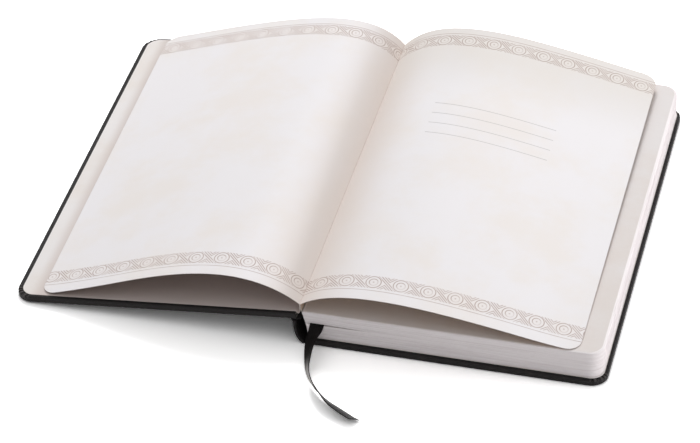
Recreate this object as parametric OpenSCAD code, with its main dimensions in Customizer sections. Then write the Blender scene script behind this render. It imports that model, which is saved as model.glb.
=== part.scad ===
// Opened hardcover journal: the front cover lies turned over to the left and
// the first leaf stands arched over the page block on the right.
// Book frame while drawing: x = 0 is the back board's spine edge, y = 0 its
// tail edge, z = 0 the table. The finished part is centred on x and y.

/* [Boards] */
// Width of each board, spine edge to fore edge
board_w = 132.8; // [110:0.2:160]
// Height of each board, tail to head
board_h = 216; // [170:1:250]
// Thickness of the grey board
board_t = 2.2; // [1.8:0.1:3]
// Radius of a cover's two outer corners
corner_r = 8; // [5:0.5:12]

/* [Leatherette] */
// Thickness of the leatherette
skin_t = 0.4; // [0.3:0.05:0.6]
// Width of leatherette turned in over the inside of a board
turn_in_w = 15; // [11:0.5:20]
// Radius of the corners where two turned-in strips meet
turn_in_r = 1; // [0.5:0.1:2]
// Rounding of a cover's outer edges
edge_r = 1; // [0.6:0.1:1.2]

/* [Pages] */
// Thickness of the page block
block_t = 13.3; // [10:0.1:18]
// How far the boards stand out past the pages at head, tail and fore edge
square_w = 2.1; // [1.5:0.1:4]
// Radius of the pages' outer corners
page_r = 7; // [4:0.5:11]
// How far the spine side of the pages passes the back board, at the bottom
spine_low = 2.2; // [1:0.1:3]
// How far the spine side of the pages passes the back board, at the top
spine_high = 5.2; // [4:0.1:5.4]
// Thickness of the lining glued to the spine side of the pages
lining_t = 0.3; // [0.2:0.05:0.5]

/* [Endpapers and first leaves] */
// Thickness of endpapers and of the title leaf
paper_t = 0.25; // [0.15:0.05:0.35]
// Leatherette rim left showing round a pastedown
rim_w = 1.7; // [1:0.1:3]
// Height of the stem in which both first leaves rise from the fold
stem_h = 3.6; // [2:0.1:6]
// Reach of the turned flyleaf over the front cover, from the hinge axis
flyleaf_reach = 124; // [105:0.5:126]
// Reach of the title leaf over the pages, from the back board's spine edge
title_reach = 120; // [105:0.5:124]
// Height at which the title leaf's free edge hovers at the head
title_lift = 3.7; // [0.5:0.1:9]
// Pull of the flyleaf's arch near the gutter, across
fly_near_w = 25.5; // [15:0.1:34]
// Pull of the flyleaf's arch near the gutter, upwards
fly_near_h = 25.5; // [16:0.1:32]
// Pull of the flyleaf's arch from its far edge, across
fly_far_w = 59; // [45:0.5:75]
// Pull of the flyleaf's arch from its far edge, upwards
fly_far_h = 10.5; // [5:0.1:18]
// Pull of the title leaf's arch at the tail, near the gutter, across
tail_near_w = 25.9; // [15:0.1:34]
// Pull of the title leaf's arch at the tail, near the gutter, upwards
tail_near_h = 18.3; // [10:0.1:26]
// Pull of the title leaf's arch at the tail, from its far edge, across
tail_far_w = 50; // [40:0.5:70]
// Pull of the title leaf's arch at the tail, from its far edge, upwards
tail_far_h = 5.8; // [2:0.1:14]
// Pull of the title leaf's arch at the head, near the gutter, across
head_near_w = 21.4; // [12:0.1:30]
// Pull of the title leaf's arch at the head, near the gutter, upwards
head_near_h = 26.2; // [16:0.1:32]
// Pull of the title leaf's arch at the head, from its far edge, across
head_far_w = 60; // [45:0.5:75]
// Pull of the title leaf's arch at the head, from its far edge, upwards
head_far_h = 15.9; // [8:0.1:24]

/* [Spine and joints] */
// Distance between the two boards' spine edges in the open book
joint_w = 7.3; // [7:0.1:9]
// Width of the back joint, board to foot of the spine
spine_foot = 4.3; // [3.6:0.1:5]
// How far the upper edge of the spine stands out from the back board
spine_out = 8.6; // [8.4:0.1:9.6]
// How far the belly of the spine bulges outwards
spine_belly = 3.3; // [2.4:0.1:4]
// Thickness of the spine's card stiffener
card_t = 0.7; // [0.5:0.1:0.9]
// Gap left between the pages and the closed front cover
closed_gap = 0.55; // [0.4:0.05:1]

/* [Ribbon marker] */
// Width of the ribbon
ribbon_w = 6.4; // [5:0.2:7]
// Thickness of the ribbon
ribbon_t = 0.5; // [0.4:0.05:0.6]
// Play of the ribbon between the pages, above and below it
ribbon_play = 0.15; // [0.1:0.05:0.4]
// Depth of the gap that the ribbon holds open in the pages
gap_depth = 26; // [22:1:60]
// How far to the right of the ribbon the pages still part
gap_run = 18; // [8:0.5:30]

/* [Hidden] */

// Space for glue between two layers, and between a layer and what lies on it
glue = 0.05;
cut = 1;

leatherette_colour = [0.13, 0.12, 0.12];
paper_colour = [0.93, 0.92, 0.90];
page_colour = [0.95, 0.95, 0.94];
board_colour = [0.55, 0.53, 0.50];

// A cover is leatherette, board and turned-in leatherette, then the pastedown
cover_t = board_t + 2 * skin_t;
inside_t = cover_t + paper_t;
pocket_r = corner_r - skin_t;

// Page block
block_z0 = inside_t + glue;
block_z1 = block_z0 + block_t;
block_y0 = square_w;
block_y1 = board_h - square_w;
block_x1 = board_w - square_w;

// The front hinge axis lies halfway between the boards, in the pastedown's face
half_joint = joint_w / 2;
hinge_x = -half_joint;
hinge_z = block_z1 + closed_gap;

// The open front cover slopes until its outer edge touches the table
reach_u = half_joint + board_w - edge_r;
reach_n = inside_t - edge_r;
slope = asin((hinge_z - edge_r) / norm([reach_u, reach_n])) - atan(reach_n / reach_u);

// Centre of the whole book in plan
x_min = hinge_x - reach_u * cos(slope) + (paper_t + edge_r) * sin(slope) - edge_r;
centre_x = (x_min + board_w) / 2;
centre_y = board_h / 2;

// A point of the open front cover: u outwards from the hinge, n off its inside
function on_cover(u, n) = [
    hinge_x - u * cos(slope) - n * sin(slope),
    hinge_z - u * sin(slope) + n * cos(slope)
];
// Height of the cover's outer face above the table at a given x
function underside(x) =
    let (n = -inside_t, u = (hinge_x - x - n * sin(slope)) / cos(slope)) on_cover(u, n)[1];

// A point of a cubic curve and its speed at the far end
function curve(p, t) =
    pow(1 - t, 3) * p[0] + 3 * pow(1 - t, 2) * t * p[1]
    + 3 * (1 - t) * t * t * p[2] + t * t * t * p[3];
function end_speed(p) = 3 * norm(p[3] - p[2]);
function unit(v) = v / norm(v);
// Direction of a path at one of its points
function heading(path, i) =
    unit(path[min(i + 1, len(path) - 1)] - path[max(i - 1, 0)]);
// The path moved sideways by d, to the left of its direction
function beside(path, d) =
    [for (i = [0:len(path) - 1]) let (h = heading(path, i)) path[i] + d * [-h[1], h[0]]];
function backwards(list) = [for (i = [len(list) - 1:-1:0]) list[i]];
// Outline of a strip of thickness t along a path
function strip(path, t) = concat(beside(path, t / 2), backwards(beside(path, -t / 2)));

// Solids drawn as an outline in x and z, run along y
module along_y(y0, y1) {
    translate([0, y1, 0]) rotate([90, 0, 0]) linear_extrude(y1 - y0) children();
}

// Plan of a sheet whose two corners at x1 are round
module sheet_plan(x0, x1, y0, y1, r) {
    translate([x0, y0]) square([x1 - r - x0, y1 - y0]);
    translate([x0, y0 + r]) square([x1 - x0, y1 - y0 - 2 * r]);
    for (y = [y0 + r, y1 - r]) translate([x1 - r, y]) circle(r = r, $fn = 64);
}

// Children drawn outwards from the hinge in x, along the spine in y and off
// the pastedown's face in z, laid on the open front cover
module on_front_cover() {
    translate([hinge_x, 0, hinge_z]) rotate([0, -slope, 0]) mirror([1, 0, 0]) children();
}

// Section of a cover's rim, outwards in x and up in y, with both edges rounded
rim_steps = 4;
rim_section = concat(
    [[0, 0]],
    [for (i = [0:rim_steps]) let (a = 90 * i / rim_steps)
        [corner_r - edge_r * (1 - sin(a)), edge_r * (1 - cos(a))]],
    [for (i = [0:rim_steps]) let (a = 90 * i / rim_steps)
        [corner_r - edge_r * (1 - cos(a)), cover_t - edge_r * (1 - sin(a))]],
    [[0, cover_t]]
);

// A cover's outer form: a plate whose rim section runs round three sides
module cover_form() {
    flat_w = board_w - corner_r;
    translate([0, corner_r, 0]) cube([flat_w, board_h - 2 * corner_r, cover_t]);
    translate([flat_w, 0, 0]) along_y(corner_r, board_h - corner_r) polygon(rim_section);
    translate([0, corner_r, 0]) rotate([90, 0, 90]) mirror([1, 0, 0]) linear_extrude(flat_w) polygon(rim_section);
    translate([0, board_h - corner_r, 0]) rotate([90, 0, 90]) linear_extrude(flat_w) polygon(rim_section);
    translate([flat_w, corner_r, 0]) rotate([0, 0, -90]) rotate_extrude(angle = 90, $fn = 64) polygon(rim_section);
    translate([flat_w, board_h - corner_r, 0]) rotate_extrude(angle = 90, $fn = 64) polygon(rim_section);
}

// Leatherette over one board, turned in at head, tail and fore edge
module cover_leatherette() {
    difference() {
        cover_form();
        translate([0, 0, skin_t]) linear_extrude(board_t)
            sheet_plan(-cut, board_w - skin_t, skin_t, board_h - skin_t, pocket_r);
        translate([0, 0, skin_t + board_t / 2]) linear_extrude(cover_t)
            sheet_plan(-cut, board_w - turn_in_w, turn_in_w, board_h - turn_in_w, turn_in_r);
    }
}

// Grey board inside the leatherette
module cover_board() {
    inset = skin_t + glue;
    translate([0, 0, inset]) linear_extrude(board_t - 2 * glue)
        sheet_plan(0, board_w - inset, inset, board_h - inset, pocket_r - glue);
}

// Pastedown: the sheet glued inside a cover. It steps down between the
// turned-in strips to reach the board.
module pastedown() {
    step = turn_in_w + glue;
    translate([0, 0, cover_t]) linear_extrude(paper_t)
        sheet_plan(0, board_w - rim_w, rim_w, board_h - rim_w, corner_r - rim_w);
    translate([0, 0, cover_t - skin_t]) linear_extrude(skin_t)
        sheet_plan(0, board_w - step, step, board_h - step, turn_in_r);
}

module back_board() color(board_colour) cover_board();
module back_leatherette() color(leatherette_colour) cover_leatherette();
module back_pastedown() color(paper_colour) pastedown();

// The front cover's layers are the same, seen from the hinge
module front_layer() {
    on_front_cover() translate([half_joint, 0, -inside_t]) children();
}
module front_board() color(board_colour) front_layer() cover_board();
module front_leatherette() color(leatherette_colour) front_layer() cover_leatherette();

// Fold of the front endpaper, in the cover's own u and n, just outside the pages
fold_u = 2.1;
fold_r = 0.3;
// Upper end of the fold's straight foot
fold_top = 0.5;
// How far the stem leans towards the pages
stem_lean = 0.2;
// Foot, two handles and tip of the flyleaf's arch, in u and n
fly_foot = [fold_u - stem_lean, stem_h];
fly_arch = [
    fly_foot, fly_foot + [fly_near_w, fly_near_h], [flyleaf_reach - fly_far_w, stem_h + fly_far_h],
    [flyleaf_reach, paper_t + glue]
];
fly_path = concat(
    [for (a = [0:30:60]) [fold_u + fold_r * (1 - sin(a)), -paper_t / 2 + fold_r * (1 - cos(a))]],
    [[fold_u, fold_top]],
    [for (i = [0:30]) curve(fly_arch, i / 30)]
);

// Front endpaper: one folded sheet, pastedown on the cover and flyleaf arched
// back over it
module front_endpaper() {
    color(paper_colour) on_front_cover() {
        translate([half_joint, 0, -inside_t]) pastedown();
        along_y(block_y0, block_y1)
            polygon([[fold_u, -paper_t], [half_joint + glue, -paper_t], [half_joint + glue, 0], [fold_u, 0]]);
        intersection() {
            along_y(block_y0, block_y1) polygon(strip(fly_path, paper_t));
            translate([0, 0, -cut]) linear_extrude(stem_h + 40)
                sheet_plan(0, flyleaf_reach, block_y0, block_y1, page_r);
        }
    }
}

// Spine side of the pages: it leans to the left as the open cover pulls it
spine_steps = 10;
function spine_side(k) = [
    -spine_low - (spine_high - spine_low) * pow(k, 1.6),
    block_z0 + block_t * k
];
spine_line = [for (i = [0:spine_steps]) spine_side(i / spine_steps)];

// The ribbon lies between the pages at this height and place
ribbon_z = 10.3;
ribbon_x = 2;
gap_h = ribbon_t + 2 * ribbon_play;

// All pages glued into one block, with the gap that the ribbon holds open
module text_block() {
    left = ribbon_x - ribbon_w / 2 - ribbon_play;
    right = ribbon_x + ribbon_w / 2 + ribbon_play;
    color(page_colour) difference() {
        intersection() {
            along_y(block_y0, block_y1)
                polygon(concat(spine_line, [[block_x1, block_z1], [block_x1, block_z0]]));
            translate([0, 0, block_z0 - cut]) linear_extrude(block_t + 2 * cut)
                sheet_plan(-spine_high - cut, block_x1, block_y0, block_y1, page_r);
        }
        along_y(block_y0 - cut, block_y0 + gap_depth) translate([0, ribbon_z])
            polygon([
                [left, -gap_h / 2], [right, -gap_h / 2], [right + gap_run, 0],
                [right, gap_h / 2], [left, gap_h / 2]
            ]);
    }
}

// Lining glued down the spine side of the pages
module spine_lining() {
    line = [for (i = [0:spine_steps]) spine_side(0.04 + 0.92 * i / spine_steps)];
    color(page_colour) along_y(block_y0 + 1, block_y1 - 1)
        polygon(strip(beside(line, lining_t / 2 + glue), lining_t));
}

// Title leaf: a stem, then an arch that is higher at the head than at the tail.
// The stem stands just inside the pages' edge and leans out over it.
foot_in = 0.1;
foot_gap = 0.02;
stem_out = 0.4;
title_foot = [-spine_high + foot_in, block_z1 + foot_gap];
gutter = [-spine_high - stem_out, block_z1 + stem_h];
title_tail = [gutter, gutter + [tail_near_w, tail_near_h],
    [title_reach - tail_far_w, block_z1 + tail_far_h],
    [title_reach, block_z1 + paper_t / 2 + glue]];
title_head = [gutter, gutter + [head_near_w, head_near_h],
    [title_reach - head_far_w, block_z1 + head_far_h],
    [title_reach, block_z1 + title_lift]];

arch_steps = 26;
round_steps = 6;
// Curve parameter and corner inset at each station along the leaf
function stations(p) = concat(
    [for (i = [0:arch_steps]) [(1 - page_r / end_speed(p)) * i / arch_steps, 0]],
    [for (i = [1:round_steps]) let (a = 90 * i / round_steps)
        [1 - page_r * (1 - sin(a)) / end_speed(p), page_r * (1 - cos(a))]]
);
function leaf_path(p) = concat([title_foot, (title_foot + p[0]) / 2], [for (s = stations(p)) curve(p, s[0])]);
leaf_inset = concat([0, 0], [for (s = stations(title_tail)) s[1]]);
rows = 6;

module title_leaf() {
    tail = leaf_path(title_tail);
    head = leaf_path(title_head);
    n = len(tail);
    page_h = block_y1 - block_y0;
    // One side of the leaf, moved off its middle surface by d
    function side(d) = let (a = beside(tail, d), b = beside(head, d))
        [for (i = [0:n - 1]) for (j = [0:rows])
            let (y = leaf_inset[i] + (page_h - 2 * leaf_inset[i]) * j / rows,
                 p = a[i] + (b[i] - a[i]) * y / page_h)
            [p[0], block_y0 + y, p[1]]];
    m = rows + 1;
    under = n * m;
    function quad(a, b, c, d) = [[a, b, c], [a, c, d]];
    faces = concat(
        [for (i = [0:n - 2]) for (j = [0:rows - 1])
            each quad(i * m + j, i * m + j + 1, (i + 1) * m + j + 1, (i + 1) * m + j)],
        [for (i = [0:n - 2]) for (j = [0:rows - 1])
            each quad(under + i * m + j, under + (i + 1) * m + j, under + (i + 1) * m + j + 1, under + i * m + j + 1)],
        [for (i = [0:n - 2])
            each quad(i * m, (i + 1) * m, under + (i + 1) * m, under + i * m)],
        [for (i = [0:n - 2])
            each quad(i * m + rows, under + i * m + rows, under + (i + 1) * m + rows, (i + 1) * m + rows)],
        [for (j = [0:rows - 1])
            each quad(j, under + j, under + j + 1, j + 1)],
        [for (j = [0:rows - 1])
            each quad((n - 1) * m + j, (n - 1) * m + j + 1, under + (n - 1) * m + j + 1, under + (n - 1) * m + j)]
    );
    color(paper_colour)
        polyhedron(points = concat(side(paper_t / 2), side(-paper_t / 2)), faces = faces, convexity = 6);
}

// Spine of the case: leatherette over a card stiffener, bowed away from the pages
spine_top_z = underside(-spine_out) - skin_t - 4 * glue;
spine_curve = [
    [-spine_foot, skin_t / 2], [-spine_foot - spine_belly, 4 * skin_t],
    [-spine_out, 0.6 * spine_top_z], [-spine_out, spine_top_z]
];
function spine_arc(from, to) = [for (i = [0:12]) curve(spine_curve, from + (to - from) * i / 12)];

module spine_leatherette() {
    color(leatherette_colour) along_y(0, board_h)
        polygon(strip(spine_arc(0, 1), skin_t));
}
module spine_card() {
    inner = beside(spine_arc(0.16, 0.97), -(skin_t + card_t) / 2 - glue);
    color(board_colour) along_y(skin_t, board_h - skin_t) polygon(strip(inner, card_t));
}

// Strip that folds under the front board's spine edge as the cover lies open
module front_joint_leatherette() {
    low = inside_t + skin_t / 2 + glue;
    path = [
        on_cover(half_joint - 0.1, -low), on_cover(half_joint + 0.6, -low),
        [-spine_out + skin_t / 2, underside(-spine_out) - skin_t / 2 - 2 * glue],
        [-spine_out - skin_t / 4, underside(-spine_out) - skin_t / 2 - 3 * glue]
    ];
    color(leatherette_colour) along_y(0, board_h) polygon(strip(path, skin_t));
}
// Strip from the back board's spine edge to the foot of the spine
module back_joint_leatherette() {
    color(leatherette_colour) along_y(0, board_h)
        translate([-spine_foot + 2 * glue + skin_t / 2, 0]) square([spine_foot - 3 * glue - skin_t / 2, skin_t]);
}

// Ribbon marker: its route from between the pages over the tail to the table,
// and at each point how far it is rolled about its own line
ribbon_route = [
    [2, 20, 10.3], [2, 14, 10.3], [2, 8, 10.3], [2, 2.4, 10.3],
    [2.1, -0.5, 10], [1.9, -3.3, 9.4], [1.6, -6.2, 8.8], [1.5, -9.2, 8],
    [1.8, -12.3, 6.9], [2.3, -15.6, 5.9], [2.9, -18.7, 5.1], [3.6, -21.4, 4.7],
    [4.5, -24, 4.5], [5.6, -26.5, 4.4], [6.9, -28.8, 4.3], [8.4, -31.2, 4.1],
    [10, -33.3, 4.1], [11.7, -35.3, 4], [13.5, -37.2, 3.9], [15.5, -39, 3.6],
    [17.7, -40.7, 3.2], [19.9, -42.1, 2.9], [24.1, -44.6, 2.6], [28.3, -46.9, 2.3],
    [31.9, -48.6, 2.2]
];
ribbon_roll = [
    0, 0, 0, 0, 5, 14, 26, 39, 49, 58, 66, 75, 83, 92, 100, 106,
    111, 116, 123, 131, 139, 145, 149, 149, 148
];

function cross_section(i) =
    let (
        t = unit(ribbon_route[min(i + 1, len(ribbon_route) - 1)] - ribbon_route[max(i - 1, 0)]),
        side = unit([-t[1], t[0], 0]),
        up = cross(t, side),
        a = ribbon_roll[i],
        across = cos(a) * side + sin(a) * up,
        off = cos(a) * up - sin(a) * side,
        w = ribbon_w / 2,
        h = ribbon_t / 2,
        c = ribbon_t / 4
    )
    [for (q = [[w - c, -h], [w, -h + c], [w, h - c], [w - c, h], [c - w, h], [-w, h - c], [-w, c - h], [c - w, -h]])
        ribbon_route[i] + q[0] * across + q[1] * off];

module ribbon_marker() {
    n = len(ribbon_route);
    color(leatherette_colour) polyhedron(
        points = [for (i = [0:n - 1]) each cross_section(i)],
        faces = concat(
            [[for (k = [0:7]) k]],
            [for (i = [0:n - 2]) for (k = [0:7]) let (a = i * 8 + k, b = i * 8 + (k + 1) % 8)
                each [[a, a + 8, b], [b, a + 8, b + 8]]],
            [[for (k = [7:-1:0]) (n - 1) * 8 + k]]
        ),
        convexity = 6
    );
}

// Everything is moved so that the book's footprint is centred on the origin
module placed() translate([-centre_x, -centre_y, 0]) children();

placed() text_block();
placed() title_leaf();
placed() spine_lining();
placed() spine_card();
placed() spine_leatherette();
placed() front_joint_leatherette();
placed() back_joint_leatherette();
placed() ribbon_marker();
placed() front_board();
placed() front_leatherette();
placed() front_endpaper();
placed() back_board();
placed() back_leatherette();
placed() back_pastedown();
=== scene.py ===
import math
import bmesh
import bpy
import numpy as np
from mathutils import Matrix, Vector


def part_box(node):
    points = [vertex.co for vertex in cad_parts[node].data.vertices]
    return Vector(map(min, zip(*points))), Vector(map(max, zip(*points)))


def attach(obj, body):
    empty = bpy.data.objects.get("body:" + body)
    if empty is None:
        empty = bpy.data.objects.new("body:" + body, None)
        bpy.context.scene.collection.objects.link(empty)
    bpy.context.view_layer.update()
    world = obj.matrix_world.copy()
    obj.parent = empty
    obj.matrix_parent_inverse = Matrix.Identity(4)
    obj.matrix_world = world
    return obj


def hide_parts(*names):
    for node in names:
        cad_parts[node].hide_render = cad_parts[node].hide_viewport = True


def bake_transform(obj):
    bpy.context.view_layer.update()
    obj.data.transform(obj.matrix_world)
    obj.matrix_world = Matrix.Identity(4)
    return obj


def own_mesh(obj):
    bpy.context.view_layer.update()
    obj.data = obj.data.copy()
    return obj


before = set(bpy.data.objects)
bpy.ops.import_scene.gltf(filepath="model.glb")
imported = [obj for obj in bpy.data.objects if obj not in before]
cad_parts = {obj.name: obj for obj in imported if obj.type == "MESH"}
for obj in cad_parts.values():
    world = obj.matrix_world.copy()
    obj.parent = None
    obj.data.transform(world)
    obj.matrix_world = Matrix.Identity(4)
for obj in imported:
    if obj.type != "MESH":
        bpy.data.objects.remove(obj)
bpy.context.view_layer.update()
print("frame loaded:", len(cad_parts), "solids")

# Shapes are worked out in book millimetres: x from the back board's spine edge,
# y from its tail edge, z up from the table. fromBook puts them into the frame.
mm = 0.001
bookOrigin = np.array(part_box("back_leatherette")[0])


def fromBook(points):
    return np.asarray(points, float) * mm + bookOrigin


def bookBox(node):
    low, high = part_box(node)
    return (np.array(low) - bookOrigin) / mm, (np.array(high) - bookOrigin) / mm


boardW, boardH, coverT = bookBox("back_leatherette")[1]
blockLow, blockHigh = bookBox("text_block")
paperT = 0.25  # thickness of the endpapers in the frame
jointW = 7.3  # between the two boards' spine edges
edgeR = 1.0  # rounding of the covers' edges
insideT = coverT + paperT
hingeX, hingeZ = -jointW / 2, blockHigh[2] + 0.55

# the open front cover slopes until its outer edge touches the table
reachU = jointW / 2 + boardW - edgeR
reachN = insideT - edgeR
slope = math.asin((hingeZ - edgeR) / math.hypot(reachU, reachN)) - math.atan(reachN / reachU)


# X and z of a point of the open front cover: u outwards from the hinge, n off its pastedown
def onCover(u, n):
    return (hingeX - u * math.cos(slope) - n * math.sin(slope),
            hingeZ - u * math.sin(slope) + n * math.cos(slope))


# Camera
camera = {
    "lens": 173.741, "azimuth": 13.6169, "elevation": 36.8732, "roll": -0.2474,
    "distance": 1580.51, "target": (-4.75, 93.196, 0.0),
}


def addCamera():
    az, el, roll = (math.radians(camera[k]) for k in ("azimuth", "elevation", "roll"))
    back = Vector((math.sin(az) * math.cos(el), -math.cos(az) * math.cos(el), math.sin(el)))
    level = Vector((0, 0, 1)).cross(back).normalized()
    upright = back.cross(level)
    right = math.cos(roll) * level + math.sin(roll) * upright
    up = back.cross(right)
    data = bpy.data.cameras.new("bookCamera")
    data.lens = camera["lens"]
    data.sensor_width = 36
    data.sensor_fit = "HORIZONTAL"
    data.clip_end = 20
    eye = bpy.data.objects.new("bookCamera", data)
    place = Vector(fromBook(camera["target"])) + back * camera["distance"] * mm
    eye.matrix_world = Matrix.Translation(place) @ Matrix((right, up, back)).transposed().to_4x4()
    bpy.context.scene.collection.objects.link(eye)
    bpy.context.scene.camera = eye


addCamera()
print("camera set")


# Mesh tools
# Quads between the neighbours of a rows by columns grid of points
def gridFaces(rows, columns, closeRows=False, closeColumns=False):
    r = np.arange(rows if closeRows else rows - 1)[:, None]
    c = np.arange(columns if closeColumns else columns - 1)[None, :]
    r1, c1 = (r + 1) % rows, (c + 1) % columns
    quads = np.stack([r * columns + c, r1 * columns + c, r1 * columns + c1, r * columns + c1], -1)
    return quads.reshape(-1, 4)


# One mesh object from book-millimetre points, with quads, many-sided caps and a UV in metres
def makePiece(name, points, quads, material, uv=None, caps=(), merge=True, values=None):
    mesh = bpy.data.meshes.new(name)
    faces = quads.tolist() + [list(map(int, cap)) for cap in caps]
    mesh.from_pydata(fromBook(points).tolist(), [], faces)
    if uv is not None:
        corners = np.zeros(len(mesh.loops), np.int32)
        mesh.loops.foreach_get("vertex_index", corners)
        layer = mesh.uv_layers.new(name="UVMap")
        layer.data.foreach_set("uv", (np.asarray(uv, float) * mm)[corners].astype(np.float32).ravel())
    for key, field in (values or {}).items():
        mesh.attributes.new(key, "FLOAT", "POINT").data.foreach_set("value", np.ravel(field).astype(np.float32))
    if merge:
        shell = bmesh.new()
        shell.from_mesh(mesh)
        bmesh.ops.remove_doubles(shell, verts=shell.verts, dist=2e-6)
        bmesh.ops.dissolve_degenerate(shell, edges=shell.edges, dist=1e-6)
        bmesh.ops.recalc_face_normals(shell, faces=shell.faces)
        shell.to_mesh(mesh)
        shell.free()
    mesh.polygons.foreach_set("use_smooth", np.ones(len(mesh.polygons), bool))
    mesh.materials.append(material)
    piece = bpy.data.objects.new(name, mesh)
    bpy.context.scene.collection.objects.link(piece)
    return piece


# Edges turned further than this, and a sheet's rims, stay crisp
def sharpen(piece, degrees=40):
    mesh = piece.data
    shell = bmesh.new()
    shell.from_mesh(mesh)
    for edge in shell.edges:
        edge.smooth = len(edge.link_faces) == 2 and edge.calc_face_angle(0) < math.radians(degrees)
    shell.to_mesh(mesh)
    shell.free()


def solidify(piece, thickness, offset, back=None):
    wall = piece.modifiers.new("thickness", "SOLIDIFY")
    wall.thickness = thickness * mm
    wall.offset = offset
    wall.use_even_offset = False
    if back is not None:
        piece.data.materials.append(back)
        wall.material_offset = 1


# Points of a cubic curve: its four handles weighted by the cubic Bernstein shares
def bezier(handles, steps=500):
    t = np.linspace(0, 1, steps)[:, None]
    p = np.asarray(handles, float)
    return (1 - t) ** 3 * p[0] + 3 * (1 - t) ** 2 * t * p[1] + 3 * (1 - t) * t ** 2 * p[2] + t ** 3 * p[3]


def arcLengths(path):
    return np.concatenate([[0], np.cumsum(np.linalg.norm(np.diff(path, axis=0), axis=1))])


# Points of a path at these shares of its length
def resample(path, shares):
    lengths = arcLengths(path)
    at = np.asarray(shares) * lengths[-1]
    return np.stack([np.interp(at, lengths, path[:, k]) for k in range(path.shape[1])], -1)


def smoothStep(x, low, high):
    t = np.clip((np.asarray(x, float) - low) / (high - low), 0, 1)
    return t * t * (3 - 2 * t)


# Node tools
# A colour as seen on screen, 0 to 255, as the linear value that a shader takes
def srgb(r, g, b):
    c = np.array([r, g, b]) / 255
    linear = np.where(c <= 0.04045, c / 12.92, ((c + 0.055) / 1.055) ** 2.4)
    return (*linear.tolist(), 1.0)


def feed(tree, socket, value):
    if isinstance(value, bpy.types.NodeSocket):
        tree.links.new(value, socket)
    else:
        socket.default_value = value


def calc(tree, operation, a, b=0.0, c=0.0, clamp=False):
    node = tree.nodes.new("ShaderNodeMath")
    node.operation = operation
    node.use_clamp = clamp
    for socket, value in zip(node.inputs, (a, b, c)):
        feed(tree, socket, value)
    return node.outputs[0]


# Smooth step from start to end as the value goes from low to high
def fade(tree, value, low, high, start=0.0, end=1.0):
    node = tree.nodes.new("ShaderNodeMapRange")
    node.interpolation_type = "SMOOTHSTEP"
    for socket, number in zip(node.inputs, (value, low, high, start, end)):
        feed(tree, socket, number)
    return node.outputs[0]


# 1 on a printed line, 0 away from it, from the distance to its middle in millimetres
def stroke(tree, distance, halfWidth, soft=0.14):
    return fade(tree, calc(tree, "ABSOLUTE", distance), halfWidth, halfWidth + soft, 1.0, 0.0)


def blendColour(tree, share, a, b, how="MIX"):
    node = tree.nodes.new("ShaderNodeMix")
    node.data_type = "RGBA"
    node.blend_type = how
    feed(tree, node.inputs[0], share)
    feed(tree, node.inputs[6], a)
    feed(tree, node.inputs[7], b)
    return node.outputs[2]


def stretched(tree, vector, scale):
    node = tree.nodes.new("ShaderNodeMapping")
    tree.links.new(vector, node.inputs["Vector"])
    node.inputs["Scale"].default_value = scale
    return node.outputs[0]


def noise(tree, vector, scale, detail=3.0, roughness=0.5, distortion=0.0):
    node = tree.nodes.new("ShaderNodeTexNoise")
    tree.links.new(vector, node.inputs["Vector"])
    for key, value in (("Scale", scale), ("Detail", detail), ("Roughness", roughness), ("Distortion", distortion)):
        node.inputs[key].default_value = value
    return node.outputs["Fac"]


def cells(tree, vector, scale, feature="F1", output="Distance"):
    node = tree.nodes.new("ShaderNodeTexVoronoi")
    node.feature = feature
    tree.links.new(vector, node.inputs["Vector"])
    node.inputs["Scale"].default_value = scale
    return node.outputs[output]


def bump(tree, height, strength, distance, under=None):
    node = tree.nodes.new("ShaderNodeBump")
    node.inputs["Strength"].default_value = strength
    node.inputs["Distance"].default_value = distance
    tree.links.new(height, node.inputs["Height"])
    if under is not None:
        tree.links.new(under, node.inputs["Normal"])
    return node.outputs[0]


# A Principled material, its constant values set on the shader's own sockets
def newMaterial(name, **settings):
    material = bpy.data.materials.new(name)
    material.use_nodes = True
    shader = material.node_tree.nodes["Principled BSDF"]
    for key, value in settings.items():
        shader.inputs[key.replace("_", " ")].default_value = value
    return material, material.node_tree, shader


# An empty node group with float or vector inputs and float outputs
def newGroup(name, inputs, outputs):
    group = bpy.data.node_groups.new(name, "ShaderNodeTree")
    for label, kind, value in inputs:
        socket = group.interface.new_socket(label, in_out="INPUT", socket_type=kind)
        if value is not None:
            socket.default_value = value
    for label in outputs:
        group.interface.new_socket(label, in_out="OUTPUT", socket_type="NodeSocketFloat")
    return group, group.nodes.new("NodeGroupInput").outputs, group.nodes.new("NodeGroupOutput").inputs


def useGroup(tree, group, **values):
    node = tree.nodes.new("ShaderNodeGroup")
    node.node_tree = group
    for key, value in values.items():
        feed(tree, node.inputs[key], value)
    return node.outputs


def objectPlace(tree):
    return tree.nodes.new("ShaderNodeTexCoord").outputs["Object"]


# The piece's own UV in millimetres: along the sheet and across it
def sheetPlace(tree):
    node = tree.nodes.new("ShaderNodeUVMap")
    node.uv_map = "UVMap"
    parts = tree.nodes.new("ShaderNodeSeparateXYZ")
    tree.links.new(stretched(tree, node.outputs[0], (1 / mm, 1 / mm, 1 / mm)), parts.inputs[0])
    return parts.outputs[0], parts.outputs[1], node.outputs[0]


# Printed border: rings in a row, and a slanted pair of strokes over a bent one between them
border = {
    "pitch": 12.37, "outer": 3.85, "inner": 2.2, "eye": 0.3, "narrow": 1.14, "ringStroke": 0.18,
    "clear": 4.5, "half": 4.3, "lean": 48.0, "pair": 0.5, "strand": 0.15, "bend": 1.5, "bends": 1.0,
    "rule": 0.14,
}


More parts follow.
